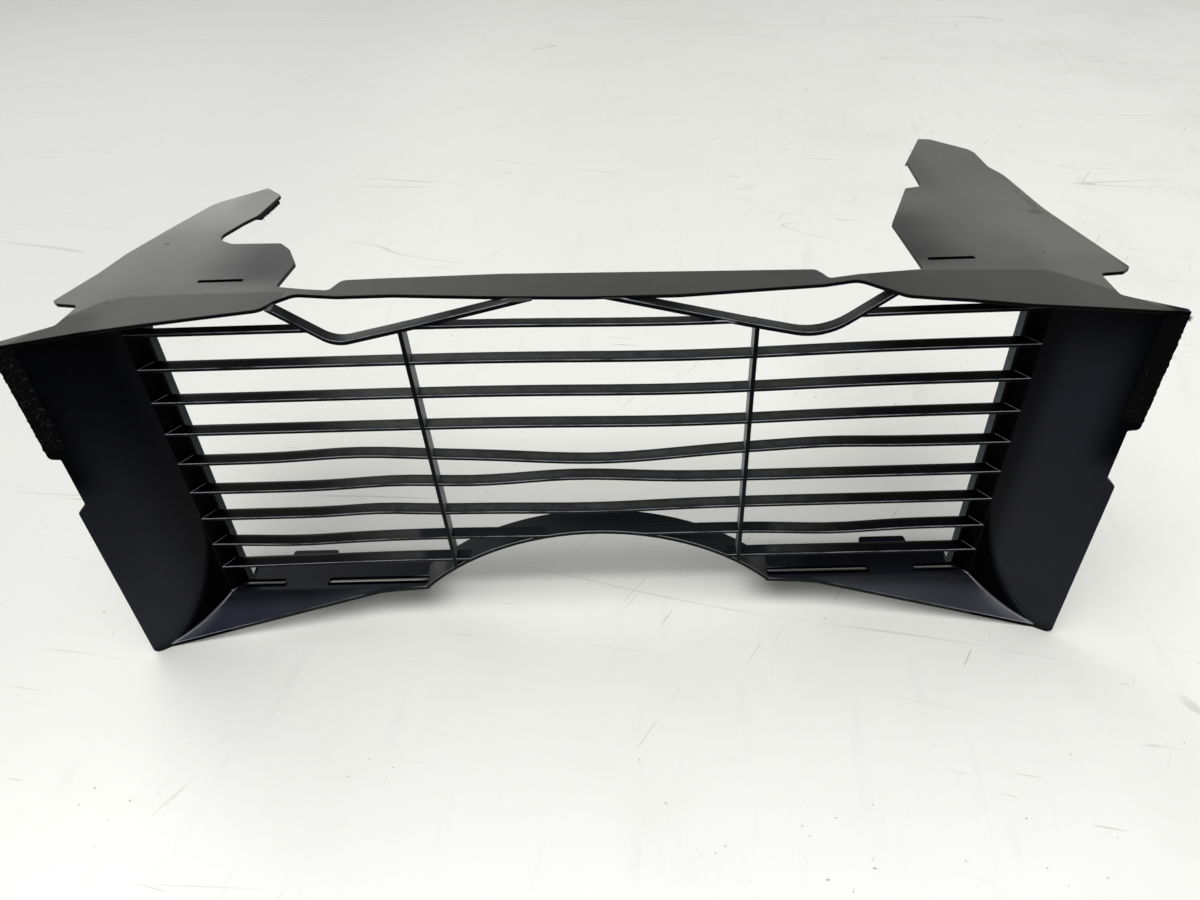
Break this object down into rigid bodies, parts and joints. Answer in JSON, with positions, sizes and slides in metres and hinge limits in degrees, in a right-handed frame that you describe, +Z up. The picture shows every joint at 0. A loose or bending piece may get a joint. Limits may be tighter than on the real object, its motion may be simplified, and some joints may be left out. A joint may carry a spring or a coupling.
{
  "type": "motorcycle radiator guard",
  "caption": "Moulded black plastic radiator guard and air guide with a slatted grille, flared side panels, a winged top plate and felt edge strips.",
  "frame": {"origin": "middle of the bounding box in X and Y, at the height of the lowest corners of the side panels", "axes": "+X across the grille towards the panel under the longer wing, +Y back from the grille towards the wings' tips, +Z up from the lower lips to the top plate"},
  "size_m": [0.48, 0.191, 0.196],
  "materials": {
    "moulding": "satin black moulded plastic with handling marks",
    "felt": "fuzzy black felt"
  },
  "bodies": {
    "root": {"guard": "moulding", "left_edge_felt": "felt", "right_edge_felt": "felt", "left_wing_felt": "felt", "right_wing_felt": "felt"}
  },
  "joints": []
}
